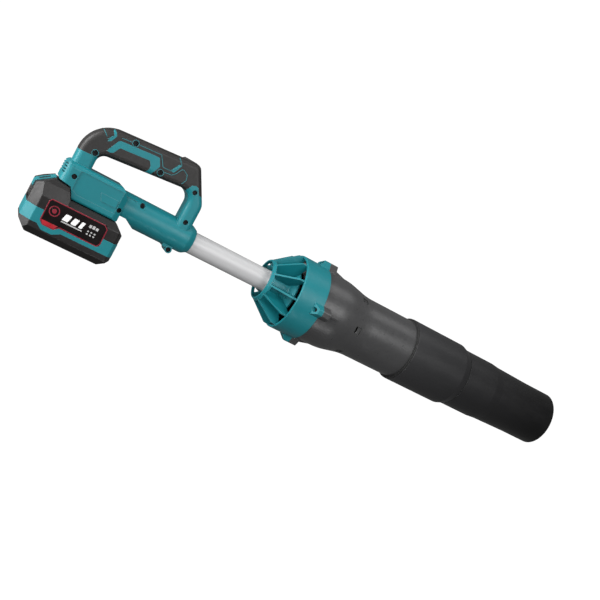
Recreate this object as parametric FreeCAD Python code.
import FreeCAD
import Part

import math
import os

# Leaf blower: D-handle housing with a slide-on battery, a pole, an axial fan unit and a two-piece nozzle.
# Millimetres. +X runs forward along the pole to the nozzle outlet, +Z is up and +Y is to the left.
# The origin is the centre of the nozzle outlet.

# ---------------------------------------------------------------- lengths along the pole axis
FRONT_NOZZLE_LENGTH = 159.0
REAR_NOZZLE_LENGTH = 96.0
DUCT_LENGTH = 147.4
RING_LENGTH = 36.2
CAGE_LENGTH = 36.0
POLE_VISIBLE = 104.4
POLE_IN_HOUSING = 62.0
POLE_IN_HUB = 12.0

# ---------------------------------------------------------------- radii and walls
POLE_RADIUS = 14.0
POLE_WALL = 1.5
PLASTIC_WALL = 2.4
NOZZLE_WALL = 2.0
OUTLET_RADIUS = 38.4
FRONT_NOZZLE_RADIUS = 41.0
REAR_NOZZLE_WALL = 2.8
SPIGOT_RADIUS = 41.3
DUCT_RADIUS = 48.6
RING_STEP = 2.1
SOCKET_GAP = 0.4
SPIGOT_LENGTH = 22.0
NECK_LENGTH = 20.0
SEAL_THICKNESS = 1.6
JOINT_GAP = 0.3
TAPER_START = 36.4
TAPER_RATIO = 4.52

# ---------------------------------------------------------------- fan unit
BLADE_COUNT = 9
VANE_COUNT = 11
RIB_COUNT = 12
RIB_THICKNESS = 2.2
LUG_COUNT = 4
SNAP_COUNT = 6
LUG_HEIGHT = 7.8
LUG_SCREW_HEIGHT = 2.7
LUG_BASE = 17.0
LUG_TOP = 7.0
GUARD_LUG_LENGTH = 12.6
DUCT_LUG_LENGTH = 11.0
TIP_GAP = 0.8
ROTOR_LENGTH = 24.0
ROTOR_HUB_RADIUS = 31.0
ROTOR_HUB_WALL = 2.5
ROTOR_INSET = 7.6
STATOR_GAP = 4.0
STATOR_LENGTH = 28.0
TAIL_LENGTH = 48.0
SMALL_RING_GAP = 11.0
SMALL_RING_WALL = 2.0
SMALL_RING_LENGTH = 4.0
HUB_WALL = 2.9
HUB_FLARE_STEP = 2.0
HUB_DISC_INSET = 2.4
MOTOR_OVER_POLE = 1.5
MOTOR_LENGTH = 38.0
MOTOR_WALL = 1.2
SHAFT_RADIUS = 2.5
RUNNING_GAP = 0.05
HUB_WEB = 2.0
NUT_RADIUS = 4.4

# ---------------------------------------------------------------- housing, measured back from its nose
BARREL_WALL = 4.9
BARREL_LIFT = 1.1
NOSE_LENGTH = 7.0
LOOP_HALF_WIDTH = 16.5
LOOP_EDGE_RADIUS = 6.5
BLOCK_HALF_WIDTH = 27.0
BLOCK_TOP = 23.3
BLOCK_FRONT = 97.0
BLOCK_REAR = 175.0
VENT_COUNT = 4
VENT_BOTTOM = 7.4
VENT_PITCH = 3.4
VENT_HEIGHT = 1.7
VENT_INNER = 8.0
VENT_OUTER = 23.5
FOOT_BOTTOM = -16.7
NOTCH_ROOF = -9.0
FOOT_REAR = 152.5
OVERHANG_REAR_Z = -1.2
OVERHANG_FRONT_Z = -3.5
OVERHANG_FRONT = 159.4
LEG_FRONT = 10.5
LEG_BEND_DROP = 43.4
GRIP_FRONT = 35.2
GRIP_FRONT_HEIGHT = 88.4
GRIP_REAR = 169.8
GRIP_SLOPE = 0.0868
GRIP_BEND_RADIUS = 40.0
GAP_FRONT = 29.9
GAP_REAR = 146.3
GRIP_DEPTH = 32.6
GAP_SLOPE = 0.1009
PAD_THICKNESS = 1.3
PAD_BORDER_HEIGHT = 38.0

# ---------------------------------------------------------------- battery
BATTERY_GAP = 0.6
BATTERY_FRONT = 83.0
BATTERY_LENGTH = 114.0
BATTERY_HALF_WIDTH = 38.0
BATTERY_BOTTOM = -71.0
BAND_TOP = -39.4
BAND_BOTTOM = -56.3
BATTERY_WALL = 2.2
BAND_THICKNESS = 1.2
BAND_PROUD = 0.3
RAIL_FRONT = 108.0
RAIL_STEM_HALF = 14.1
RAIL_HEAD_HALF = 18.1
RAIL_HEAD_BOTTOM = -13.7
RAIL_HEAD_TOP = -8.8
RAIL_GAP = 0.5
CELL_RADIUS = 9.15
CELL_LENGTH = 65.0
CELL_PITCH = 18.8
CELLS_LONG = 5
CELLS_HIGH = 2
HOLDER_RIM = 1.2
CELL_CLEARANCE = 3.6
STRIP_THICKNESS = 0.2
LATCH_HALF_WIDTH = 14.0
LATCH_GAP = 0.4
LATCH_TOP = -24.0
LATCH_BOTTOM = -34.0
LATCH_TEETH = 4
HUMP_TOP = -2.2
HUMP_REAR_TOP = -16.0

# ---------------------------------------------------------------- fasteners and controls
SCREW_SHANK_RADIUS = 1.5
SCREW_HEAD_RADIUS = 2.8
SCREW_HEAD_HEIGHT = 2.2
SCREW_RECESS_RADIUS = 3.15
BOSS_RADIUS = 4.4
BUTTON_HALF_WIDTH = 7.0
BUTTON_FRONT = 39.2
BUTTON_REAR = 56.2
BUTTON_PROUD = 0.3
BUTTON_GAP = 0.4
BOARD_THICKNESS = 1.6
BOARD_HEIGHT = 2.0
CABLE_RADIUS = 2.2
LEAD_RADIUS = 1.2

# ---------------------------------------------------------------- stations worked out from the lengths
X_NOZZLE_JOINT = -FRONT_NOZZLE_LENGTH
X_SEAM = X_NOZZLE_JOINT - REAR_NOZZLE_LENGTH
X_FLANGE = X_SEAM - DUCT_LENGTH
X_RING_REAR = X_FLANGE - RING_LENGTH
X_GUARD_REAR = X_RING_REAR - CAGE_LENGTH
X_NOSE = X_GUARD_REAR - POLE_VISIBLE
X_HUB_REAR = X_GUARD_REAR + 9.6
X_POLE_FRONT = X_HUB_REAR + POLE_IN_HUB
X_MOTOR_REAR = X_POLE_FRONT + HUB_WEB
X_MOTOR_FRONT = X_MOTOR_REAR + MOTOR_LENGTH
X_HUB_DISC = X_RING_REAR + HUB_DISC_INSET
X_ROTOR_REAR = X_RING_REAR + ROTOR_INSET
X_ROTOR_FRONT = X_ROTOR_REAR + ROTOR_LENGTH
X_STATOR_REAR = X_ROTOR_FRONT + STATOR_GAP
X_STATOR_FRONT = X_STATOR_REAR + STATOR_LENGTH
X_SHAFT_FRONT = X_ROTOR_FRONT + 9.0
DUCT_BORE = DUCT_RADIUS - PLASTIC_WALL - 0.8
LINER_RADIUS = DUCT_BORE + PLASTIC_WALL
SPIGOT_BORE = SPIGOT_RADIUS - PLASTIC_WALL
NECK_RADIUS = FRONT_NOZZLE_RADIUS - NOZZLE_WALL - SOCKET_GAP
BATTERY_TOP = FOOT_BOTTOM - BATTERY_GAP
BATTERY_REAR = BATTERY_FRONT + BATTERY_LENGTH
RING_RADIUS = DUCT_RADIUS + RING_STEP
LUG_RADIUS = RING_RADIUS + LUG_HEIGHT
LUG_SCREW_CIRCLE = RING_RADIUS + LUG_SCREW_HEIGHT
REAR_NOZZLE_RADIUS = SPIGOT_RADIUS + SOCKET_GAP + REAR_NOZZLE_WALL
SMALL_RING_RADIUS = POLE_RADIUS + SMALL_RING_GAP + SMALL_RING_WALL
HUB_FLARE_RADIUS = ROTOR_HUB_RADIUS + HUB_FLARE_STEP
MOTOR_RADIUS = POLE_RADIUS + MOTOR_OVER_POLE
HUB_RADIUS = MOTOR_RADIUS + HUB_WALL
BARREL_RADIUS = POLE_RADIUS + BARREL_WALL
BARREL_BOTTOM = BARREL_LIFT - BARREL_RADIUS
BOARD_FRONT = RAIL_FRONT - 4.0
BUTTON_TOP = GRIP_FRONT_HEIGHT + BUTTON_PROUD
BUTTON_SKIRT_TOP = GRIP_FRONT_HEIGHT - 6.8
SWITCH_TOP = GRIP_FRONT_HEIGHT - 13.4

EVERYTHING = 400.0


def grip_top(distance):
    """Height of the grip's straight top line at this distance behind the nose."""
    return GRIP_FRONT_HEIGHT - (distance - GRIP_FRONT) * GRIP_SLOPE


def on_grip(places):
    """Heights from drops below the grip's top line, in (distance behind the nose, drop) pairs."""
    return [(distance, grip_top(distance) - drop) for distance, drop in places]


def vec(x, y, z):
    return FreeCAD.Vector(x, y, z)


def behind(distance):
    """X of a point this far behind the housing's nose."""
    return X_NOSE - distance


# ---------------------------------------------------------------- shape helpers
def rounded_face(corners):
    """Flat face in the XZ plane from (x, z, radius) corners, each rounded by a tangent arc."""
    points = [vec(x, 0, z) for x, z, _ in corners]
    arcs = []
    for i, here in enumerate(points):
        radius = corners[i][2]
        to_last = (points[i - 1] - here).normalize()
        to_next = (points[(i + 1) % len(points)] - here).normalize()
        if radius == 0:
            arcs.append((here, None, here))
            continue
        half = to_last.getAngle(to_next) / 2
        bisector = (to_last + to_next).normalize()
        reach = radius / math.tan(half)
        middle = here + bisector * (radius / math.sin(half) - radius)
        arcs.append((here + to_last * reach, middle, here + to_next * reach))
    edges = []
    for i, (start, middle, end) in enumerate(arcs):
        last_end = arcs[i - 1][2]
        if (start - last_end).Length > 1e-6:
            edges.append(Part.makeLine(last_end, start))
        if middle is not None:
            edges.append(Part.Arc(start, middle, end).toShape())
    return Part.Face(Part.Wire(Part.__sortEdges__(edges)))


def sharp(points):
    return [(x, z, 0) for x, z in points]


def inset_face(face, inset):
    return face.makeOffset2D(-inset) if inset else face


def side_prism(corners, half_width, inset=0.0):
    """Prism across Y from an outline in the XZ plane."""
    face = inset_face(rounded_face(corners), inset)
    width = half_width - inset
    face.translate(vec(0, -width, 0))
    return face.extrude(vec(0, 2 * width, 0))


def plan_prism(corners, low, high, inset=0.0):
    """Prism along Z from an outline in the XY plane, given as (x, y, radius) corners."""
    face = inset_face(rounded_face(corners), inset)
    face.rotate(vec(0, 0, 0), vec(1, 0, 0), -90)
    face.translate(vec(0, 0, low))
    return face.extrude(vec(0, 0, high - low))


def end_prism(corners, low, high, inset=0.0):
    """Prism along X from an outline in the YZ plane, given as (y, z, radius) corners."""
    face = inset_face(rounded_face(corners), inset)
    face.rotate(vec(0, 0, 0), vec(0, 0, 1), 90)
    face.translate(vec(low, 0, 0))
    return face.extrude(vec(high - low, 0, 0))


def turned(corners, lift=0.0):
    """Solid of revolution about the pole axis from (x, radius, corner radius) corners."""
    solid = rounded_face(corners).revolve(vec(0, 0, 0), vec(1, 0, 0), 360)
    solid.translate(vec(0, 0, lift))
    return solid


def tube_x(low, high, outer, inner):
    return turned(sharp([(low, inner), (high, inner), (high, outer), (low, outer)]))


def rod_x(low, high, radius, y=0.0, z=0.0):
    return Part.makeCylinder(radius, high - low, vec(low, y, z), vec(1, 0, 0))


def rod_y(x, z, low, high, radius):
    return Part.makeCylinder(radius, high - low, vec(x, low, z), vec(0, 1, 0))


def box(low, high):
    size = [b - a for a, b in zip(low, high)]
    return Part.makeBox(size[0], size[1], size[2], vec(low[0], low[1], low[2]))


def turn_about_pole(shape, degrees):
    copy = shape.copy()
    copy.rotate(vec(0, 0, 0), vec(1, 0, 0), degrees)
    return copy


def joined(shapes):
    first = shapes[0]
    return first.fuse(shapes[1:]).removeSplitter() if len(shapes) > 1 else first


def group(shapes):
    return Part.makeCompound(shapes)


def edges_at_sides(solid, half_width):
    """Edges that lie wholly in one of the two side planes."""
    found = []
    for edge in solid.Edges:
        sides = [vertex.Point.y for vertex in edge.Vertexes]
        if all(abs(abs(y) - half_width) < 1e-4 for y in sides) and max(sides) - min(sides) < 1e-4:
            found.append(edge)
    return found


def cable(points, radius):
    """Round cable along straight runs joined by tangent arcs as large as the runs allow."""
    edges = []
    last = points[0]
    for i in range(1, len(points) - 1):
        here = points[i]
        to_last = points[i - 1] - here
        to_next = points[i + 1] - here
        reach = 0.45 * min(to_last.Length, to_next.Length)
        to_last.normalize()
        to_next.normalize()
        half = to_last.getAngle(to_next) / 2
        bend = reach * math.tan(half)
        print("cable bend radius", round(bend, 1))
        bisector = (to_last + to_next).normalize()
        start = here + to_last * reach
        end = here + to_next * reach
        middle = here + bisector * (bend / math.sin(half) - bend)
        edges.append(Part.LineSegment(last, start).toShape())
        edges.append(Part.Arc(start, middle, end).toShape())
        last = end
    edges.append(Part.LineSegment(last, points[-1]).toShape())
    path = Part.Wire(edges)
    ring = Part.Wire(Part.makeCircle(radius, points[0], points[1] - points[0]))
    return path.makePipeShell([ring], True, False)


def coil_spring(radius, wire, length, turns):
    """Compression spring standing along Z from the origin, its coil made of short straight runs."""
    pitch = (length - 2 * wire) / turns
    runs = 12
    points = []
    for i in range(turns * runs + 1):
        angle = 2 * math.pi * i / runs
        points.append(vec(radius * math.cos(angle), radius * math.sin(angle), wire + pitch * i / runs))
    section = Part.Wire(Part.makeCircle(wire, points[0], points[1] - points[0]))
    return Part.makePolygon(points).makePipeShell([section], True, False, 1)


# ---------------------------------------------------------------- nozzle
def make_front_nozzle():
    rear = X_NOZZLE_JOINT + JOINT_GAP
    shoulder = -110.0
    step = -97.0
    straight = -42.0
    step_radius = OUTLET_RADIUS + 1.3
    bore = NECK_RADIUS + SOCKET_GAP
    return turned([
        (rear, bore, 0),
        (shoulder, bore, 0),
        (step, step_radius - NOZZLE_WALL, 0),
        (straight, OUTLET_RADIUS - NOZZLE_WALL, 0),
        (0, OUTLET_RADIUS - NOZZLE_WALL, 0),
        (0, OUTLET_RADIUS, 0),
        (straight, OUTLET_RADIUS, 0),
        (step, step_radius, 3),
        (shoulder, FRONT_NOZZLE_RADIUS, 4),
        (rear, FRONT_NOZZLE_RADIUS, 0.6),
    ])


def make_rear_nozzle():
    rear = X_SEAM + SEAL_THICKNESS + JOINT_GAP
    chamfer = X_NOZZLE_JOINT - 10.0
    socket = SPIGOT_RADIUS + SOCKET_GAP
    neck_bore = NECK_RADIUS - NOZZLE_WALL
    return turned([
        (rear, socket, 0),
        (chamfer - 6, socket, 0),
        (X_NOZZLE_JOINT, neck_bore, 0),
        (X_NOZZLE_JOINT + NECK_LENGTH, neck_bore, 0),
        (X_NOZZLE_JOINT + NECK_LENGTH, NECK_RADIUS, 0.8),
        (X_NOZZLE_JOINT, NECK_RADIUS, 0),
        (X_NOZZLE_JOINT, FRONT_NOZZLE_RADIUS, 0.8),
        (chamfer, REAR_NOZZLE_RADIUS, 4),
        (rear, REAR_NOZZLE_RADIUS, 0.8),
    ])


def make_nozzle_seal():
    return tube_x(X_SEAM, X_SEAM + SEAL_THICKNESS, REAR_NOZZLE_RADIUS - 0.3, SPIGOT_RADIUS)


# ---------------------------------------------------------------- duct and intake guard
def lug(low, high):
    """Pointed lug on the outside of the fan unit, standing straight up before it is turned into place."""
    root = DUCT_BORE + 1.0
    return end_prism([
        (-LUG_BASE / 2, root, 0),
        (-LUG_BASE / 2, DUCT_RADIUS + 1, 0),
        (-LUG_TOP / 2, LUG_RADIUS, 2.0),
        (LUG_TOP / 2, LUG_RADIUS, 2.0),
        (LUG_BASE / 2, DUCT_RADIUS + 1, 0),
        (LUG_BASE / 2, root, 0),
    ], low, high)


def around(shape, count):
    return [turn_about_pole(shape, 360.0 * i / count) for i in range(count)]


def make_duct():
    taper = X_FLANGE + TAPER_START
    straight = taper + TAPER_RATIO * (DUCT_RADIUS - SPIGOT_RADIUS)
    liner_rear = X_ROTOR_REAR - 1.0
    spigot_front = X_SEAM + SPIGOT_LENGTH
    body = turned([
        (liner_rear, DUCT_BORE, 0),
        (taper, DUCT_BORE, 90),
        (straight, SPIGOT_BORE, 90),
        (spigot_front, SPIGOT_BORE, 0),
        (spigot_front, SPIGOT_RADIUS, 0.8),
        (straight, SPIGOT_RADIUS, 90),
        (taper, DUCT_RADIUS, 90),
        (X_FLANGE, DUCT_RADIUS, 0),
        (X_FLANGE, LINER_RADIUS, 0),
        (liner_rear, LINER_RADIUS, 0),
    ])
    lug_front = X_FLANGE + DUCT_LUG_LENGTH
    trail = side_prism(sharp([
        (lug_front - 1, DUCT_BORE + 1), (lug_front + 16, DUCT_BORE + 1),
        (lug_front + 16, DUCT_RADIUS + 0.2), (lug_front - 1, DUCT_RADIUS + 4.5)]), 1.2)
    solid = joined([body] + around(lug(X_FLANGE, lug_front), LUG_COUNT) + around(trail, LUG_COUNT))
    pilot = rod_x(X_FLANGE - 1, lug_front - 2, SCREW_SHANK_RADIUS, 0, LUG_SCREW_CIRCLE)
    solid = solid.cut(around(pilot, LUG_COUNT))
    slot = box((taper + 20, -4.5, SPIGOT_RADIUS - 0.6), (taper + 29, 4.5, DUCT_RADIUS + 2))
    return solid.cut(around(turn_about_pole(slot, 90), SNAP_COUNT))


def guard_ring_bore():
    return LINER_RADIUS + 0.2


def plain_guard_ring():
    bore = guard_ring_bore()
    return turned([
        (X_RING_REAR, bore, 0),
        (X_FLANGE, bore, 0),
        (X_FLANGE, RING_RADIUS, 0.6),
        (X_RING_REAR, RING_RADIUS, 1.2),
    ])


def make_guard_ring():
    """Front ring of the intake guard, with the four screw lugs."""
    lug_rear = X_FLANGE - GUARD_LUG_LENGTH
    slope = side_prism(sharp([
        (lug_rear - 1, RING_RADIUS + 1), (lug_rear + 6.5, LUG_RADIUS + 0.5),
        (lug_rear - 1, LUG_RADIUS + 0.5)]), LUG_BASE)
    sloped_lug = lug(lug_rear, X_FLANGE).cut(slope)
    solid = joined([plain_guard_ring()] + around(sloped_lug, LUG_COUNT))
    solid = solid.cut(rod_x(X_RING_REAR - 1, X_FLANGE + 1, guard_ring_bore()))
    clearance = SCREW_SHANK_RADIUS + 0.2
    hole = rod_x(lug_rear - 1, X_FLANGE + 1, clearance, 0, LUG_SCREW_CIRCLE)
    recess = rod_x(lug_rear - 1, lug_rear + 6.0, SCREW_RECESS_RADIUS, 0, LUG_SCREW_CIRCLE)
    return solid.cut(around(hole, LUG_COUNT) + around(recess, LUG_COUNT))


def make_guard_rear_ring():
    """Small ring at the rear of the guard, which the pole passes through."""
    front = X_GUARD_REAR + SMALL_RING_LENGTH
    bore = SMALL_RING_RADIUS - SMALL_RING_WALL
    return turned([
        (X_GUARD_REAR, bore, 0.5),
        (front, bore, 0),
        (front, SMALL_RING_RADIUS + 2.0, 0),
        (X_GUARD_REAR, SMALL_RING_RADIUS, 0.5),
    ])


def hub_flare():
    """Outside of the hub barrel from its front disc back to its rear edge."""
    return [
        (X_HUB_DISC, HUB_FLARE_RADIUS, 0),
        (X_HUB_DISC - 2.0, HUB_FLARE_RADIUS, 0),
        (X_HUB_DISC - 9.0, HUB_RADIUS, 9),
        (X_HUB_REAR, HUB_RADIUS, 1),
    ]


def make_guard_hub():
    """Hub barrel that holds the pole from the rear and the motor from the front, and flares to a disc."""
    hub = turned([
        (X_HUB_REAR, POLE_RADIUS, 0),
        (X_POLE_FRONT, POLE_RADIUS, 0),
        (X_POLE_FRONT, CABLE_RADIUS + 1.2, 0),
        (X_MOTOR_REAR, CABLE_RADIUS + 1.2, 0),
        (X_MOTOR_REAR, MOTOR_RADIUS, 0),
        (X_HUB_DISC, MOTOR_RADIUS, 0),
    ] + hub_flare())
    return hub.cut(pole_screws(SCREW_SHANK_RADIUS, HUB_RADIUS + 6))


def make_guard_ribs():
    """Radial ribs that tie the hub and the small ring to the front ring."""
    rib = side_prism(sharp([
        (X_GUARD_REAR + 0.8, SMALL_RING_RADIUS - 1),
        (X_GUARD_REAR + 0.8, SMALL_RING_RADIUS),
        (X_RING_REAR - 6.4, RING_RADIUS - 1.9),
        (X_RING_REAR, RING_RADIUS - 1.4),
        (X_RING_REAR + 3.0, RING_RADIUS - 1.4),
        (X_RING_REAR + 3.0, LINER_RADIUS - 4),
        (X_RING_REAR, HUB_FLARE_RADIUS - 1),
        (X_HUB_DISC - 10.0, HUB_RADIUS - 0.5),
        (X_HUB_REAR + 1.0, HUB_RADIUS - 0.5),
        (X_GUARD_REAR + SMALL_RING_LENGTH, SMALL_RING_RADIUS - SMALL_RING_WALL),
    ]), RIB_THICKNESS / 2)
    hub = turned(hub_flare() + [(X_HUB_REAR, 0, 0), (X_HUB_DISC, 0, 0)])
    beyond = tube_x(X_RING_REAR, X_RING_REAR + 4, LUG_RADIUS, guard_ring_bore())
    return group(around(rib.cut([beyond, plain_guard_ring(), make_guard_rear_ring(), hub]), RIB_COUNT))


def make_guard_screws():
    seat = X_FLANGE - GUARD_LUG_LENGTH + 6.0
    head = rod_x(seat - SCREW_HEAD_HEIGHT, seat, SCREW_HEAD_RADIUS, 0, LUG_SCREW_CIRCLE)
    shank = rod_x(seat, X_FLANGE + DUCT_LUG_LENGTH - 3, SCREW_SHANK_RADIUS, 0, LUG_SCREW_CIRCLE)
    cross = box((seat - SCREW_HEAD_HEIGHT - 1, -0.4, LUG_SCREW_CIRCLE - 1.7),
                (seat - 1.1, 0.4, LUG_SCREW_CIRCLE + 1.7))
    bar = box((seat - SCREW_HEAD_HEIGHT - 1, -1.7, LUG_SCREW_CIRCLE - 0.4),
              (seat - 1.1, 1.7, LUG_SCREW_CIRCLE + 0.4))
    screw = joined([head, shank]).cut([cross, bar])
    return group(around(screw, LUG_COUNT))


def pole_screws(radius, reach):
    """Two radial rods through the hub into the pole, midway between the ribs."""
    rod = Part.makeCylinder(radius, reach - POLE_RADIUS + 1.5, vec(X_HUB_REAR + 5.5, 0, POLE_RADIUS - 1.5),
                            vec(0, 0, 1))
    return [turn_about_pole(rod, angle) for angle in (45, 225)]


def make_pole_screws():
    head = Part.makeCylinder(SCREW_HEAD_RADIUS, SCREW_HEAD_HEIGHT - 0.4,
                             vec(X_HUB_REAR + 5.5, 0, HUB_RADIUS), vec(0, 0, 1))
    slot = box((X_HUB_REAR + 3.2, -0.4, HUB_RADIUS + 1.0), (X_HUB_REAR + 7.8, 0.4, HUB_RADIUS + 4))
    heads = [turn_about_pole(head.cut(slot), angle) for angle in (45, 225)]
    shanks = pole_screws(SCREW_SHANK_RADIUS, HUB_RADIUS)
    return group([joined([a, b]) for a, b in zip(heads, shanks)])


# ---------------------------------------------------------------- motor and fan
def make_motor_can():
    shell = tube_x(X_MOTOR_REAR + 3, X_MOTOR_FRONT, MOTOR_RADIUS, MOTOR_RADIUS - MOTOR_WALL)
    front = tube_x(X_MOTOR_FRONT - 2.0, X_MOTOR_FRONT, MOTOR_RADIUS - MOTOR_WALL + 0.1, 6.0)
    return joined([shell, front])


def make_motor_end_cap():
    disc = tube_x(X_MOTOR_REAR, X_MOTOR_REAR + 3, MOTOR_RADIUS, 6.0)
    step = tube_x(X_MOTOR_REAR + 3, X_MOTOR_REAR + 5, MOTOR_RADIUS - MOTOR_WALL, 6.0)
    return joined([disc, step])


def make_motor_bearings():
    bore = SHAFT_RADIUS + RUNNING_GAP
    rear = tube_x(X_MOTOR_REAR + 0.5, X_MOTOR_REAR + 5, 6.0, bore)
    front = tube_x(X_MOTOR_FRONT - 4.5, X_MOTOR_FRONT, 6.0, bore)
    return group([rear, front])


def make_motor_magnets():
    outer = MOTOR_RADIUS - MOTOR_WALL
    sleeve = tube_x(X_MOTOR_REAR + 8, X_MOTOR_FRONT - 6, outer, outer - 2.6)
    gap = box((X_MOTOR_REAR, -EVERYTHING, -3), (X_MOTOR_FRONT, EVERYTHING, 3))
    return group(sleeve.cut(gap).Solids)


def make_motor_armature():
    outer = MOTOR_RADIUS - MOTOR_WALL - 2.6 - 0.6
    core = tube_x(X_MOTOR_REAR + 11, X_MOTOR_FRONT - 8, outer, SHAFT_RADIUS)
    slot = box((X_MOTOR_REAR, -0.9, outer - 4.5), (X_MOTOR_FRONT, 0.9, outer + 1))
    ends = [tube_x(X_MOTOR_REAR + 8, X_MOTOR_REAR + 11, outer - 2, SHAFT_RADIUS),
            tube_x(X_MOTOR_FRONT - 8, X_MOTOR_FRONT - 6, outer - 2, SHAFT_RADIUS)]
    return joined([core.cut(around(slot, 9))] + ends)


def make_motor_shaft():
    return rod_x(X_MOTOR_REAR + 1, X_SHAFT_FRONT, SHAFT_RADIUS)


def blade(low, high, root, tip, thickness, sweep):
    """Twisted blade: radial sections that turn about the axis between its two ends."""
    sections = []
    steps = 4
    for i in range(steps + 1):
        x = low + (high - low) * i / steps
        half = thickness / 2 * (1.0 - 0.55 * abs(2.0 * i / steps - 1.0))
        wire = Part.makePolygon([vec(x, -half, root), vec(x, half, root), vec(x, half, tip),
                                 vec(x, -half, tip), vec(x, -half, root)])
        sections.append(turn_about_pole(wire, sweep * (i / steps - 0.5)))
    return Part.makeLoft(sections, True, False)


def make_fan_rotor():
    hub = turned([
        (X_ROTOR_REAR, ROTOR_HUB_RADIUS, 1.0),
        (X_ROTOR_REAR, ROTOR_HUB_RADIUS - ROTOR_HUB_WALL, 0.5),
        (X_ROTOR_FRONT - 4, ROTOR_HUB_RADIUS - ROTOR_HUB_WALL, 0),
        (X_ROTOR_FRONT - 4, 7.0, 0),
        (X_ROTOR_FRONT - 5, 7.0, 0),
        (X_ROTOR_FRONT - 5, SHAFT_RADIUS, 0),
        (X_ROTOR_FRONT, SHAFT_RADIUS, 0),
        (X_ROTOR_FRONT, ROTOR_HUB_RADIUS, 0.8),
    ])
    one = blade(X_ROTOR_REAR + 1, X_ROTOR_FRONT - 1, ROTOR_HUB_RADIUS - 1.5, DUCT_BORE - TIP_GAP, 3.0, 34.0)
    return joined([hub] + around(one, BLADE_COUNT))


def make_fan_nut():
    corners = [math.radians(60 * i) for i in range(6)]
    points = [(NUT_RADIUS * math.cos(a), NUT_RADIUS * math.sin(a), 0) for a in corners]
    nut = end_prism(points, X_ROTOR_FRONT, X_ROTOR_FRONT + 4.0)
    washer = rod_x(X_ROTOR_FRONT, X_ROTOR_FRONT + 0.8, 6.0)
    return joined([nut, washer]).cut(rod_x(X_ROTOR_FRONT - 1, X_ROTOR_FRONT + 6, SHAFT_RADIUS))


def make_stator():
    hub = turned(sharp([
        (X_STATOR_REAR, ROTOR_HUB_RADIUS), (X_STATOR_REAR, ROTOR_HUB_RADIUS - ROTOR_HUB_WALL),
        (X_STATOR_FRONT, ROTOR_HUB_RADIUS - ROTOR_HUB_WALL), (X_STATOR_FRONT, ROTOR_HUB_RADIUS)]))
    one = blade(X_STATOR_REAR + 1, X_STATOR_FRONT - 2, ROTOR_HUB_RADIUS - 1, DUCT_BORE + 0.4, 2.4, -16.0)
    vanes = joined([hub] + around(one, VANE_COUNT))
    return vanes.common(rod_x(X_STATOR_REAR, X_STATOR_FRONT, DUCT_BORE))


def make_tail_cone():
    tip = X_STATOR_FRONT + TAIL_LENGTH
    wall = ROTOR_HUB_WALL
    return turned([
        (X_STATOR_FRONT, ROTOR_HUB_RADIUS, 0),
        (X_STATOR_FRONT, ROTOR_HUB_RADIUS - wall, 0),
        (X_STATOR_FRONT + 16, ROTOR_HUB_RADIUS - wall - 3, 20),
        (tip - wall - 3, 6.0, 0),
        (tip - wall - 3, 0, 0),
        (tip, 0, 0),
        (tip, 9.0, 6),
        (X_STATOR_FRONT + 16, ROTOR_HUB_RADIUS - 2, 40),
    ])


# ---------------------------------------------------------------- pole and cable
def make_pole():
    low = behind(POLE_IN_HOUSING)
    solid = tube_x(low, X_POLE_FRONT, POLE_RADIUS, POLE_RADIUS - POLE_WALL)
    return solid.cut(pole_screws(SCREW_SHANK_RADIUS, HUB_RADIUS))


def cable_end_height():
    return BOARD_HEIGHT + BOARD_THICKNESS + 2.6


def make_motor_cable():
    return cable([vec(X_MOTOR_REAR, 0, 0), vec(behind(BOARD_FRONT), 0, cable_end_height())], CABLE_RADIUS)


def make_switch_lead():
    route = on_grip([(60.0, 18.2), (92.0, 16.5), (124.0, 20.7), (150.0, 22.4), (161.5, 35.4)])
    route += [(161.5, 22.0), (148.0, 9.0)]
    return cable([vec(behind(distance), 0, height) for distance, height in route], LEAD_RADIUS)


# ---------------------------------------------------------------- housing
GRIP_SCREWS = [(116.0, 6.8), (75.4, 26.8), (151.6, 35.5), (27.7, 32.7)]
SCREW_PLACES = [(distance, height, LOOP_HALF_WIDTH) for distance, height in on_grip(GRIP_SCREWS)]
SCREW_PLACES += [
    (20.7, POLE_RADIUS + 5.7, LOOP_HALF_WIDTH),
    (75.0, POLE_RADIUS - 0.6, BARREL_RADIUS - 5),
    (98.7, -3.1, BLOCK_HALF_WIDTH - 6),
    (161.1, 8.5, BLOCK_HALF_WIDTH)]
CLAMP_BOSS = (23.0, -POLE_RADIUS - 5.5, 12.5)
SCREW_PLACES.append(CLAMP_BOSS)
SCREW_SINK = 5.0
BOARD_REAR = 150.0
BOARD_HALF_WIDTH = 20.0
CHAMBER_FLOOR = -6.0


PANEL_PAD = [(127.0, 6.4, 0.8), (122.2, -2.7, 0.8), (104.0, -2.7, 0.8), (104.0, 6.4, 0.8)]


def loop_corners():
    gap_front_height = GRIP_FRONT_HEIGHT - GRIP_DEPTH
    gap_rear_height = gap_front_height - (GAP_REAR - GAP_FRONT) * GAP_SLOPE
    places = [
        (LEG_FRONT, 0, 0),
        (LEG_FRONT, GRIP_FRONT_HEIGHT - LEG_BEND_DROP, 18),
        (GRIP_FRONT, GRIP_FRONT_HEIGHT, 9),
        (GRIP_REAR, grip_top(GRIP_REAR), GRIP_BEND_RADIUS),
        (GRIP_REAR, 0, 0),
        (GAP_REAR, 0, 0),
        (GAP_REAR, gap_rear_height, 10.5),
        (GAP_FRONT, gap_front_height, 14),
        (GAP_FRONT, 0, 0)]
    return [(behind(distance), height, radius) for distance, height, radius in places]


def loop_solid(inset):
    """The D-shaped handle loop, rounded along both sides."""
    solid = side_prism(loop_corners(), LOOP_HALF_WIDTH, inset)
    return solid.makeFillet(LOOP_EDGE_RADIUS - inset, edges_at_sides(solid, LOOP_HALF_WIDTH - inset))


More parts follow.
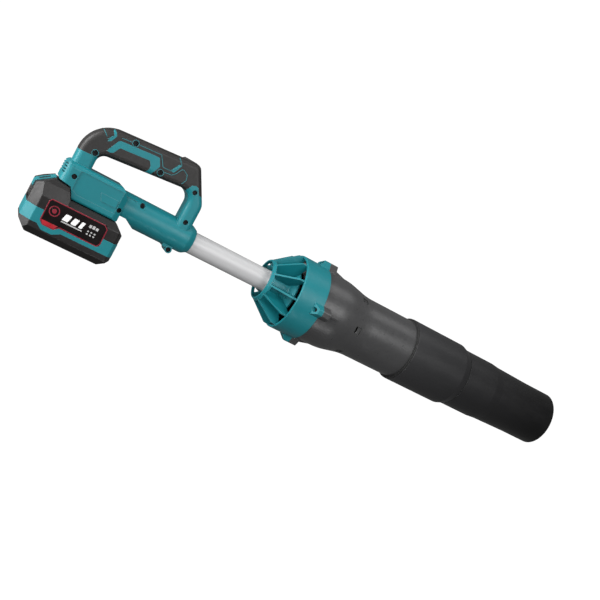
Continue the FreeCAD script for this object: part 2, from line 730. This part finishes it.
def barrel_solid(inset):
    front = X_NOSE - inset
    radius = BARREL_RADIUS - inset
    return turned([
        (front, 0, 0),
        (front, radius - 4, 0),
        (front - NOSE_LENGTH, radius, 9),
        (behind(BLOCK_FRONT + 12), radius, 0),
        (behind(BLOCK_FRONT + 12), 0, 0),
    ], BARREL_LIFT)


def block_solid(inset):
    """The rear block: where its side outline, its plan outline and its end outline all overlap."""
    side = [(BLOCK_FRONT - 2, FOOT_BOTTOM, 1.5), (BLOCK_FRONT - 2, 12, 0), (BLOCK_FRONT + 8, BLOCK_TOP, 6),
            (BLOCK_REAR - 5, BLOCK_TOP, 2), (BLOCK_REAR, BLOCK_TOP - 4.5, 3),
            (BLOCK_REAR, OVERHANG_REAR_Z, 1.5),
            (OVERHANG_FRONT, OVERHANG_FRONT_Z, 0), (FOOT_REAR, FOOT_BOTTOM, 1.5)]
    width = BLOCK_HALF_WIDTH
    plan = [(BLOCK_REAR, -width, 9), (BLOCK_REAR, width, 9), (BLOCK_FRONT + 5, width, 3),
            (BLOCK_FRONT - 7, BARREL_RADIUS - 0.7, 0), (BLOCK_FRONT - 7, -BARREL_RADIUS + 0.7, 0),
            (BLOCK_FRONT + 5, -width, 3)]
    end = [(-width, FOOT_BOTTOM, 3), (width, FOOT_BOTTOM, 3), (width, BLOCK_TOP, 7), (-width, BLOCK_TOP, 7)]
    a = side_prism([(behind(x), z, r) for x, z, r in side], width, inset)
    b = plan_prism([(behind(x), y, r) for x, y, r in plan], -EVERYTHING, EVERYTHING, inset)
    c = end_prism(end, behind(EVERYTHING), X_NOSE, inset)
    return a.common(b).common(c)


def underside_notch():
    """Step up under the barrel that clears the front of the battery."""
    corners = [(71.0, BARREL_BOTTOM), (85.5, NOTCH_ROOF), (BLOCK_FRONT - 2.2, NOTCH_ROOF),
               (BLOCK_FRONT - 2.2, FOOT_BOTTOM),
               (BLOCK_FRONT + 20, FOOT_BOTTOM), (BLOCK_FRONT + 20, BATTERY_BOTTOM), (71.0, BATTERY_BOTTOM)]
    return side_prism(sharp([(behind(x), z) for x, z in corners]), EVERYTHING / 4)


def pad_region():
    """Everything in the loop that the soft grip covers, with openings where the hard shell shows."""
    edge = LEG_FRONT - 9
    border = [(GRIP_REAR + 9, PAD_BORDER_HEIGHT), (GAP_REAR + 1, PAD_BORDER_HEIGHT + 1.5),
              (GAP_REAR - 12, PAD_BORDER_HEIGHT - 3), (GAP_FRONT + 8.5, PAD_BORDER_HEIGHT - 3)]
    border += on_grip([
        (38.4, 32.9), (34.9, 26.0), (30.1, 24.5), (26.5, 26.0), (24.0, 30.3), (21.5, 34.1)])
    above = 2 * GRIP_FRONT_HEIGHT
    border += [(edge, grip_top(edge) - 38), (edge, above), (GRIP_REAR + 9, above)]
    region = side_prism(sharp([(behind(x), z) for x, z in border]), LOOP_HALF_WIDTH + 5)
    band = on_grip([
        (141.6, 27.6), (134.5, 12.6), (131.7, 11.0), (90.6, 10.7), (83.7, 11.1), (78.9, 20.8),
        (84.5, 33.1), (91.5, 33.1), (88.8, 27.7), (89.5, 23.6), (92.8, 18.7), (129.3, 19.2),
        (133.7, 27.1), (137.1, 28.4)])
    flash = on_grip([
        (66.0, 19.8), (59.9, 9.1), (56.1, 9.3), (61.3, 20.7)])
    hook = on_grip([
        (145.6, 17.6), (141.7, 15.6), (138.4, 8.3), (140.7, 4.1), (144.6, 0.9), (144.6, 3.5),
        (141.9, 8.1), (145.0, 14.1)])
    windows = [side_prism(sharp([(behind(x), z) for x, z in outline]), LOOP_HALF_WIDTH + 6)
               for outline in (band, flash, hook)]
    middle = box((behind(EVERYTHING), -LOOP_HALF_WIDTH + 4.5, -EVERYTHING),
                 (X_NOSE, LOOP_HALF_WIDTH - 4.5, EVERYTHING))
    windows = [window.cut(middle) for window in windows]
    return region.cut(windows)


def button_opening():
    return box((behind(BUTTON_REAR + BUTTON_GAP), -BUTTON_HALF_WIDTH - BUTTON_GAP, GRIP_FRONT_HEIGHT - 8.4),
               (behind(BUTTON_FRONT - BUTTON_GAP), BUTTON_HALF_WIDTH + BUTTON_GAP, GRIP_FRONT_HEIGHT + 7))


def recess_depth(half_width):
    return -(half_width - SCREW_SINK)


def screw_recesses():
    """Counterbores on the right-hand side, open to the outside."""
    return [rod_y(behind(x), z, -EVERYTHING / 4, recess_depth(w), SCREW_RECESS_RADIUS)
            for x, z, w in SCREW_PLACES]


def rail_channel():
    """T-shaped channel in the foot that the battery rail slides into from the rear."""
    stem = RAIL_STEM_HALF + RAIL_GAP
    head = RAIL_HEAD_HALF + RAIL_GAP
    low = RAIL_HEAD_BOTTOM - RAIL_GAP
    high = RAIL_HEAD_TOP + RAIL_GAP
    section = sharp([(-stem, FOOT_BOTTOM - 5), (stem, FOOT_BOTTOM - 5), (stem, low), (head, low),
                     (head, high), (-head, high), (-head, low), (-stem, low)])
    return end_prism(section, behind(BLOCK_REAR), behind(RAIL_FRONT - 4.7))


def blade_tails():
    return [box((behind(RAIL_FRONT - 1.3), y - 0.4, RAIL_HEAD_BOTTOM + 0.9),
                (behind(RAIL_FRONT - 3.3), y + 0.4, BOARD_HEIGHT))
            for y in (-9, 0, 9)]


def make_housing():
    outside = joined([loop_solid(0), barrel_solid(0), block_solid(0)]).cut(underside_notch())
    boss_x, boss_z, boss_half = CLAMP_BOSS
    clamp = rod_y(behind(boss_x), boss_z, -boss_half, boss_half, BOSS_RADIUS)
    clamp_web = box((behind(boss_x + 9), -boss_half + 2, boss_z + 1),
                    (behind(boss_x - 4), boss_half - 2, -10))
    outside = joined([outside, clamp, clamp_web])

    wall = PLASTIC_WALL
    loop_hollow = loop_solid(PAD_THICKNESS + wall)
    chamber = block_solid(wall).cut(box((behind(EVERYTHING), -EVERYTHING, -EVERYTHING),
                                        (X_NOSE, EVERYTHING, CHAMBER_FLOOR)))
    over_notch = side_prism(sharp([
        (behind(68.0), BARREL_BOTTOM - 12), (behind(84.0), NOTCH_ROOF + wall),
        (behind(BLOCK_FRONT + 20), NOTCH_ROOF + wall),
        (behind(BLOCK_FRONT + 20), BARREL_BOTTOM - 12)]), EVERYTHING / 4)
    gallery = barrel_solid(wall).cut(over_notch)
    passage = box((behind(BLOCK_FRONT + 12), -13, -3), (behind(BLOCK_FRONT - 14), 13, 15))
    hollow = joined([loop_hollow, chamber, gallery, passage])

    bosses = [rod_y(behind(x), z, -EVERYTHING / 4, EVERYTHING / 4, BOSS_RADIUS) for x, z, _ in SCREW_PLACES]
    cradle = tube_x(behind(POLE_IN_HOUSING), X_NOSE - 3, BARREL_RADIUS, POLE_RADIUS)
    cradle_gaps = [box((behind(high), -EVERYTHING, -EVERYTHING), (behind(low), EVERYTHING, EVERYTHING))
                   for low, high in ((9, 26), (30, 48), (52, 58))]
    fillings = joined(bosses).common(outside)
    fillings = fillings.fuse(cradle.cut(cradle_gaps).common(outside))
    shell = outside.cut(hollow).fuse(fillings)
    shell = shell.cut(rod_x(behind(POLE_IN_HOUSING), X_NOSE + 5, POLE_RADIUS))
    shell = shell.cut([rail_channel(), button_opening()])
    shell = shell.cut(tail_slots())

    vents = []
    for i in range(VENT_COUNT):
        height = VENT_BOTTOM + VENT_PITCH * i
        for near, far in ((-VENT_OUTER, -VENT_INNER), (VENT_INNER, VENT_OUTER)):
            vents.append(box((behind(BLOCK_REAR + 2), near, height),
                             (behind(BLOCK_REAR - 5.5), far, height + VENT_HEIGHT)))
    shell = shell.cut(vents)
    panel = [(157.0, -5.0, 2), (150.0, -9.0, 0), (102.5, -9.0, 1), (102.5, 18.0, 2), (157.0, 18.0, 3)]
    for side in (-1, 1):
        recess = side_prism([(behind(x), z, r) for x, z, r in panel], 0.5)
        recess.translate(vec(0, side * (BLOCK_HALF_WIDTH - 0.3), 0))
        shell = shell.cut(recess)
        raised = side_prism([(behind(x), z, r) for x, z, r in PANEL_PAD], 0.5)
        raised.translate(vec(0, side * (BLOCK_HALF_WIDTH - 0.5), 0))
        shell = shell.fuse(raised.common(block_solid(0)))

    clearances = [rod_y(behind(x), z, -EVERYTHING / 4, 0, SCREW_SHANK_RADIUS + 0.2)
                  for x, z, _ in SCREW_PLACES]
    pilots = [rod_y(behind(x), z, 0, w - 4, SCREW_SHANK_RADIUS) for x, z, w in SCREW_PLACES]
    shell = shell.cut(screw_recesses() + clearances + pilots)

    pads = loop_solid(0).cut(loop_solid(PAD_THICKNESS)).common(pad_region())
    pads = pads.cut(screw_recesses() + [button_opening(), barrel_solid(0), block_solid(0)])
    shell = shell.cut(pads)
    return shell, pads


def tail_slots():
    return [box((behind(RAIL_FRONT - 0.8), y - 0.9, RAIL_HEAD_BOTTOM),
                (behind(RAIL_FRONT - 3.8), y + 0.9, BOARD_HEIGHT - 1)) for y in (-9, 0, 9)]


def half(shape, side):
    """The part of a shape on one side of the mid-plane: side -1 is right, +1 is left."""
    low, high = (-EVERYTHING, 0) if side < 0 else (0, EVERYTHING)
    return shape.common(box((-3 * EVERYTHING, low, -EVERYTHING), (EVERYTHING, high, EVERYTHING)))


def make_housing_screws():
    screws = []
    for x, z, w in SCREW_PLACES:
        seat = recess_depth(w)
        head = rod_y(behind(x), z, seat - SCREW_HEAD_HEIGHT, seat, SCREW_HEAD_RADIUS)
        shank = rod_y(behind(x), z, seat, w - 5, SCREW_SHANK_RADIUS)
        slot = box((behind(x) - 0.4, seat - 9, z - 1.8), (behind(x) + 0.4, seat - 1.1, z + 1.8))
        bar = box((behind(x) - 1.8, seat - 9, z - 0.4), (behind(x) + 1.8, seat - 1.1, z + 0.4))
        screws.append(joined([head, shank]).cut([slot, bar]))
    return group(screws)


# ---------------------------------------------------------------- controls inside the housing
BUTTON_SKIRT = 1.8


def make_power_button():
    cap = side_prism([
        (behind(BUTTON_FRONT), BUTTON_SKIRT_TOP - 0.5, 0),
        (behind(BUTTON_FRONT), BUTTON_TOP - 0.4, 1.2),
        (behind(BUTTON_REAR - 2.5), BUTTON_TOP, 1.5),
        (behind(BUTTON_REAR), BUTTON_TOP - 2.0, 0.6),
        (behind(BUTTON_REAR), BUTTON_SKIRT_TOP - 0.5, 0)], BUTTON_HALF_WIDTH)
    skirt = box((behind(BUTTON_REAR + 1.6), -BUTTON_HALF_WIDTH - 1.4, BUTTON_SKIRT_TOP - BUTTON_SKIRT),
                (behind(BUTTON_FRONT - 1.2), BUTTON_HALF_WIDTH + 1.4, BUTTON_SKIRT_TOP))
    return joined([cap, skirt])


def button_centre():
    return behind((BUTTON_FRONT + BUTTON_REAR) / 2)


def make_button_spring():
    length = BUTTON_SKIRT_TOP - BUTTON_SKIRT - SWITCH_TOP
    spring = coil_spring(4.2, 0.35, length, 4)
    spring.translate(vec(button_centre(), 0, SWITCH_TOP))
    return spring


def make_switch_module():
    body = box((button_centre() - 10, -8, SWITCH_TOP - 15), (button_centre() + 10, 8, SWITCH_TOP))
    plunger = Part.makeCylinder(1.6, 2.2, vec(button_centre(), 0, SWITCH_TOP), vec(0, 0, 1))
    return joined([body, plunger])


def make_control_board():
    board = box((behind(BOARD_REAR), -BOARD_HALF_WIDTH, BOARD_HEIGHT),
                (behind(BOARD_FRONT), BOARD_HALF_WIDTH, BOARD_HEIGHT + BOARD_THICKNESS))
    return board


def make_board_components():
    top = BOARD_HEIGHT + BOARD_THICKNESS
    parts = [box((behind(BOARD_FRONT + 9), -6, top), (behind(BOARD_FRONT), 6, top + 6.5))]
    for y in (-14.5, -8.5, 8.5, 14.5):
        parts.append(box((behind(BOARD_FRONT + 30), y - 2.4, top),
                         (behind(BOARD_FRONT + 20), y + 2.4, top + 4.4)))
    for y in (-13.0, 13.0):
        parts.append(Part.makeCylinder(4.0, 12.0, vec(behind(BOARD_FRONT + 38), y, top), vec(0, 0, 1)))
    parts.append(box((behind(BOARD_FRONT + 44), -4, top), (behind(BOARD_FRONT + 36), 4, top + 1.4)))
    cable_socket = rod_x(behind(BOARD_FRONT + 7), behind(BOARD_FRONT - 1), CABLE_RADIUS + 0.3,
                         0, cable_end_height())
    parts[0] = parts[0].cut(cable_socket)
    return group(parts)


def make_terminal_block():
    high = RAIL_HEAD_TOP + RAIL_GAP
    low = RAIL_HEAD_BOTTOM - RAIL_GAP
    head = RAIL_HEAD_HALF + RAIL_GAP
    body = box((behind(RAIL_FRONT - 0.7), -head, low), (behind(RAIL_FRONT - 4.7), head, high))
    return body.cut(make_blade_solids())


def make_blade_solids():
    """L-shaped contact blades: each points back into the battery rail and its tail rises to the board."""
    blades = []
    for y, tail in zip((-9, 0, 9), blade_tails()):
        tongue = box((behind(RAIL_FRONT + 13), y - 0.4, RAIL_HEAD_BOTTOM + 0.9),
                     (behind(RAIL_FRONT - 3.3), y + 0.4, RAIL_HEAD_TOP - 0.9))
        blades.append(joined([tongue, tail]))
    return blades


# ---------------------------------------------------------------- battery
def battery_solid(inset):
    """Battery body: where its side, plan and end outlines all overlap."""
    front = BATTERY_FRONT
    rear = BATTERY_REAR - 1.2
    low = BATTERY_BOTTOM
    side = [(front, -28.0, 3), (front, low + 10, 2), (front + 12, low, 3), (rear - 12, low, 3),
            (rear, low + 11, 2), (rear, BATTERY_TOP - 1.5, 1.0), (rear - 2, BATTERY_TOP, 0.8),
            (front + 12, BATTERY_TOP, 2)]
    width = BATTERY_HALF_WIDTH
    plan = [(rear, -width + 10, 2), (rear, width - 10, 2), (rear - 12, width, 2), (front + 5, width, 2),
            (front, width - 8, 2), (front, -width + 8, 2), (front + 5, -width, 2), (rear - 12, -width, 2)]
    end = [(-width, low + 8, 2), (-width + 6, low, 2), (width - 6, low, 2), (width, low + 8, 2),
           (width, BATTERY_TOP - 8, 2), (width - 9, BATTERY_TOP, 2), (-width + 9, BATTERY_TOP, 2),
           (-width, BATTERY_TOP - 8, 2)]
    a = side_prism([(behind(x), z, r) for x, z, r in side], width, inset)
    b = plan_prism([(behind(x), y, r) for x, y, r in plan], -EVERYTHING, EVERYTHING, inset)
    c = end_prism(end, behind(EVERYTHING), X_NOSE, inset)
    return a.common(b).common(c)


def hump_solid(inset):
    """Raised rear end of the battery behind the foot, which carries the latch."""
    gap = BATTERY_GAP
    low = BATTERY_TOP - 10
    side = [(FOOT_REAR + 1.2, low, 0), (FOOT_REAR + 1.2, BATTERY_TOP, 0),
            (OVERHANG_FRONT + 0.6, OVERHANG_FRONT_Z - gap - 1.0, 1),
            (BLOCK_REAR + 0.8, OVERHANG_REAR_Z - gap - 1.6, 0),
            (BLOCK_REAR + 1.2, HUMP_TOP, 0.4), (BATTERY_REAR - 1.2, HUMP_REAR_TOP, 2.0),
            (BATTERY_REAR - 1.2, low, 0)]
    width = BATTERY_HALF_WIDTH
    rear = BATTERY_REAR - 1.2
    end = [(-width, low, 0), (width, low, 0), (width, low + 2, 2), (width - 4, -9, 2),
           (width - 15, 1.5, 2), (-width + 15, 1.5, 2), (-width + 4, -9, 2), (-width, low + 2, 2)]
    plan = [(rear, -width + 10, 2), (rear, width - 10, 2), (rear - 12, width, 2),
            (FOOT_REAR, width, 0), (FOOT_REAR, -width, 0), (rear - 12, -width, 2)]
    a = side_prism([(behind(x), z, r) for x, z, r in side], width, inset)
    b = end_prism(end, behind(EVERYTHING), X_NOSE, inset)
    c = plan_prism([(behind(x), y, r) for x, y, r in plan], -EVERYTHING, EVERYTHING, inset)
    return a.common(b).common(c)


def rail_solid():
    section = sharp([(-RAIL_STEM_HALF, BATTERY_TOP - 1), (RAIL_STEM_HALF, BATTERY_TOP - 1),
                     (RAIL_STEM_HALF, RAIL_HEAD_BOTTOM), (RAIL_HEAD_HALF, RAIL_HEAD_BOTTOM),
                     (RAIL_HEAD_HALF, RAIL_HEAD_TOP), (-RAIL_HEAD_HALF, RAIL_HEAD_TOP),
                     (-RAIL_HEAD_HALF, RAIL_HEAD_BOTTOM), (-RAIL_STEM_HALF, RAIL_HEAD_BOTTOM)])
    rail = end_prism(section, behind(OVERHANG_FRONT - 1), behind(RAIL_FRONT))
    slots = [box((behind(RAIL_FRONT + 16), y - 2.2, RAIL_HEAD_BOTTOM + 0.4),
                 (behind(RAIL_FRONT - 1), y + 2.2, RAIL_HEAD_TOP - 0.4)) for y in (-9, 0, 9)]
    return rail.cut(slots)


def layer(shape, low, high):
    return shape.common(box((-3 * EVERYTHING, -EVERYTHING, low), (EVERYTHING, EVERYTHING, high)))


LABEL = [(102.0, -23.8, 4), (101.9, -51.4, 4), (150.9, -51.2, 2), (156.3, -55.6, 2),
         (170.0, -55.6, 4), (174.5, -50.8, 3), (174.5, -27.1, 3), (170.5, -23.8, 3)]
BAND_DIP = [(146.3, -54.0, 0), (146.3, -56.3, 3), (155.5, -61.2, 4), (168.5, -61.2, 4),
            (175.5, -56.3, 3), (175.5, -54.0, 0)]


def skin():
    """Outer layer of the battery that the band and the labels are let into."""
    return battery_solid(-BAND_PROUD).cut(battery_solid(BAND_THICKNESS))


def on_battery_side(outline, side):
    """The skin inside an outline on one side of the battery."""
    plate = side_prism([(behind(x), z, r) for x, z, r in outline], 3 * BAND_THICKNESS)
    plate.translate(vec(0, side * BATTERY_HALF_WIDTH, 0))
    return plate.common(skin())


def label_plate(side):
    return on_battery_side(LABEL, side)


def latch_window():
    half_width = LATCH_HALF_WIDTH + LATCH_GAP
    return box((behind(BATTERY_REAR + 2), -half_width, LATCH_BOTTOM - 4.5),
               (behind(BATTERY_REAR - 6.0), half_width, LATCH_TOP + 1.0))


def band_shell():
    belt = layer(skin(), BAND_BOTTOM, BAND_TOP)
    belt = joined([belt, on_battery_side(BAND_DIP, -1), on_battery_side(BAND_DIP, 1)])
    return belt.cut([label_plate(-1), label_plate(1)])


def make_battery_cases():
    outside = joined([battery_solid(0), hump_solid(0)])
    hollow = joined([battery_solid(BATTERY_WALL), hump_solid(BATTERY_WALL).cut(
        box((behind(OVERHANG_FRONT + 3), -EVERYTHING, -EVERYTHING), (X_NOSE, EVERYTHING, EVERYTHING)))])
    shell = outside.cut(hollow).fuse(rail_solid())
    shell = shell.cut([band_shell(), label_plate(-1), label_plate(1)])
    shell = shell.cut([latch_window(), make_latch_hood()])
    shell = shell.cut(battery_solid(BATTERY_WALL))
    split = BAND_TOP - 4.0
    upper = layer(shell, split, EVERYTHING)
    lower = layer(shell, -EVERYTHING, split)
    return upper, lower


def cell_centres():
    middle = (BATTERY_FRONT + BATTERY_REAR - 1.2) / 2
    bottom = BATTERY_BOTTOM + BATTERY_WALL + CELL_RADIUS + CELL_CLEARANCE
    centres = []
    for row in range(CELLS_HIGH):
        for column in range(CELLS_LONG):
            offset = (column - (CELLS_LONG - 1) / 2) * CELL_PITCH
            centres.append((behind(middle + offset), bottom + row * CELL_PITCH))
    return centres


def make_battery_cells():
    return group([rod_y(x, z, -CELL_LENGTH / 2, CELL_LENGTH / 2, CELL_RADIUS) for x, z in cell_centres()])


def make_cell_holders():
    centres = cell_centres()
    edge = CELL_RADIUS + HOLDER_RIM
    low_x = min(x for x, _ in centres) - edge
    high_x = max(x for x, _ in centres) + edge
    low_z = min(z for _, z in centres) - edge
    high_z = max(z for _, z in centres) + edge
    holders = []
    for side in (-1, 1):
        outer = side * (CELL_LENGTH / 2 - 1)
        inner = side * (CELL_LENGTH / 2 - 9)
        plate = box((low_x, min(outer, inner), low_z), (high_x, max(outer, inner), high_z))
        plate = plate.common(battery_solid(BATTERY_WALL + JOINT_GAP))
        holders.append(plate.cut([rod_y(x, z, -CELL_LENGTH, CELL_LENGTH, CELL_RADIUS) for x, z in centres]))
    return group(holders)


def make_nickel_strips():
    strips = []
    for side in (-1, 1):
        faces = sorted((side * CELL_LENGTH / 2, side * (CELL_LENGTH / 2 + STRIP_THICKNESS)))
        for column in range(CELLS_LONG):
            x, z = cell_centres()[column]
            strips.append(box((x - 4, faces[0], z - 4), (x + 4, faces[1], z + CELL_PITCH + 4)))
    return group(strips)


def make_battery_board():
    top = cell_centres()[-1][1] + CELL_RADIUS
    return box((behind(BATTERY_FRONT + 75), -17, top + 0.6), (behind(BATTERY_FRONT + 22), 17, top + 2.2))


def make_battery_contacts():
    clips = []
    for y in (-9, 0, 9):
        for side in (-1, 1):
            low = y + side * 0.75
            high = y + side * 1.15
            clips.append(box((behind(RAIL_FRONT + 15.8), min(low, high), RAIL_HEAD_BOTTOM + 0.5),
                             (behind(RAIL_FRONT + 3), max(low, high), RAIL_HEAD_TOP - 0.5)))
    return group(clips)


def make_battery_latch():
    """Ribbed push pad on the rear face; pressing it down draws the hook out of the housing."""
    rear = BATTERY_REAR
    pad = box((behind(rear - 1.0), -LATCH_HALF_WIDTH, LATCH_BOTTOM),
              (behind(rear - 4.5), LATCH_HALF_WIDTH, LATCH_TOP))
    teeth = []
    for i in range(LATCH_TEETH):
        z = LATCH_BOTTOM + 1.4 + 2.4 * i
        tooth = sharp([(behind(rear - 1.2), z - 1.0), (behind(rear - 1.2), z + 1.0),
                       (behind(rear), z + 0.4), (behind(rear), z - 0.4)])
        teeth.append(side_prism(tooth, LATCH_HALF_WIDTH - 1))
    return joined([pad] + teeth)


def make_latch_hood():
    """Teal frame on the slope above the push pad, with a dark slot through it."""
    rear = BATTERY_REAR
    front = BLOCK_REAR + 1.8
    foot = LATCH_TOP + 1.0
    slope = [(front, HUMP_TOP + 0.5), (rear - 2.4, HUMP_REAR_TOP + 1.8), (rear - 0.2, HUMP_REAR_TOP - 0.8),
             (rear - 0.2, foot), (rear - 2.4, foot), (rear - 2.4, HUMP_REAR_TOP - 0.5),
             (front, HUMP_TOP - 1.8)]
    plate = side_prism(sharp([(behind(x), z) for x, z in slope]), LATCH_HALF_WIDTH)
    slot = box((behind(rear - 4.5), -LATCH_HALF_WIDTH + 6, -30),
               (behind(BLOCK_REAR + 6.5), LATCH_HALF_WIDTH - 6, 10))
    return plate.cut(slot)


def make_latch_spring():
    spring = coil_spring(1.5, 0.3, 3.9, 2)
    spring.translate(vec(behind(BATTERY_REAR - 3.9), 0, LATCH_BOTTOM - 4.2))
    return spring


# ---------------------------------------------------------------- build every node
def build():
    nodes = {}
    nodes["front_nozzle"] = make_front_nozzle()
    nodes["rear_nozzle"] = make_rear_nozzle()
    nodes["nozzle_seal"] = make_nozzle_seal()
    nodes["duct_housing"] = make_duct()
    nodes["guard_ring"] = make_guard_ring()
    nodes["guard_ribs"] = make_guard_ribs()
    nodes["guard_hub"] = make_guard_hub()
    nodes["guard_rear_ring"] = make_guard_rear_ring()
    nodes["guard_screws"] = make_guard_screws()
    nodes["pole_screws"] = make_pole_screws()
    nodes["motor_can"] = make_motor_can()
    nodes["motor_end_cap"] = make_motor_end_cap()
    nodes["motor_bearings"] = make_motor_bearings()
    nodes["motor_magnets"] = make_motor_magnets()
    nodes["motor_armature"] = make_motor_armature()
    nodes["motor_shaft"] = make_motor_shaft()
    nodes["fan_rotor"] = make_fan_rotor()
    nodes["fan_nut"] = make_fan_nut()
    nodes["stator"] = make_stator()
    nodes["tail_cone"] = make_tail_cone()
    nodes["pole_tube"] = make_pole()
    nodes["motor_cable"] = make_motor_cable()
    nodes["switch_lead"] = make_switch_lead()
    shell, pads = make_housing()
    nodes["housing_right"] = half(shell, -1)
    nodes["housing_left"] = half(shell, 1)
    nodes["grip_pad_right"] = half(pads, -1)
    nodes["grip_pad_left"] = half(pads, 1)
    nodes["housing_screws"] = make_housing_screws()
    nodes["power_button"] = make_power_button()
    nodes["button_spring"] = make_button_spring()
    nodes["switch_module"] = make_switch_module()
    nodes["control_board"] = make_control_board()
    nodes["board_components"] = make_board_components()
    nodes["terminal_block"] = make_terminal_block()
    nodes["terminal_blades"] = group(make_blade_solids())
    upper, lower = make_battery_cases()
    nodes["battery_upper_case"] = upper
    nodes["battery_lower_case"] = lower
    nodes["battery_band"] = band_shell().cut([label_plate(-1), label_plate(1)])
    nodes["battery_label_right"] = label_plate(-1)
    nodes["battery_label_left"] = label_plate(1)
    nodes["battery_cells"] = make_battery_cells()
    nodes["cell_holders"] = make_cell_holders()
    nodes["nickel_strips"] = make_nickel_strips()
    nodes["battery_board"] = make_battery_board()
    nodes["battery_contacts"] = make_battery_contacts()
    nodes["battery_latch"] = make_battery_latch()
    nodes["latch_hood"] = make_latch_hood()
    nodes["latch_spring"] = make_latch_spring()
    return nodes


os.makedirs("parts", exist_ok=True)
for name, shape in build().items():
    shape.exportStep("parts/" + name + ".step")
    print(name, "solids", len(shape.Solids), "valid", shape.isValid(), "volume", round(shape.Volume, 1))
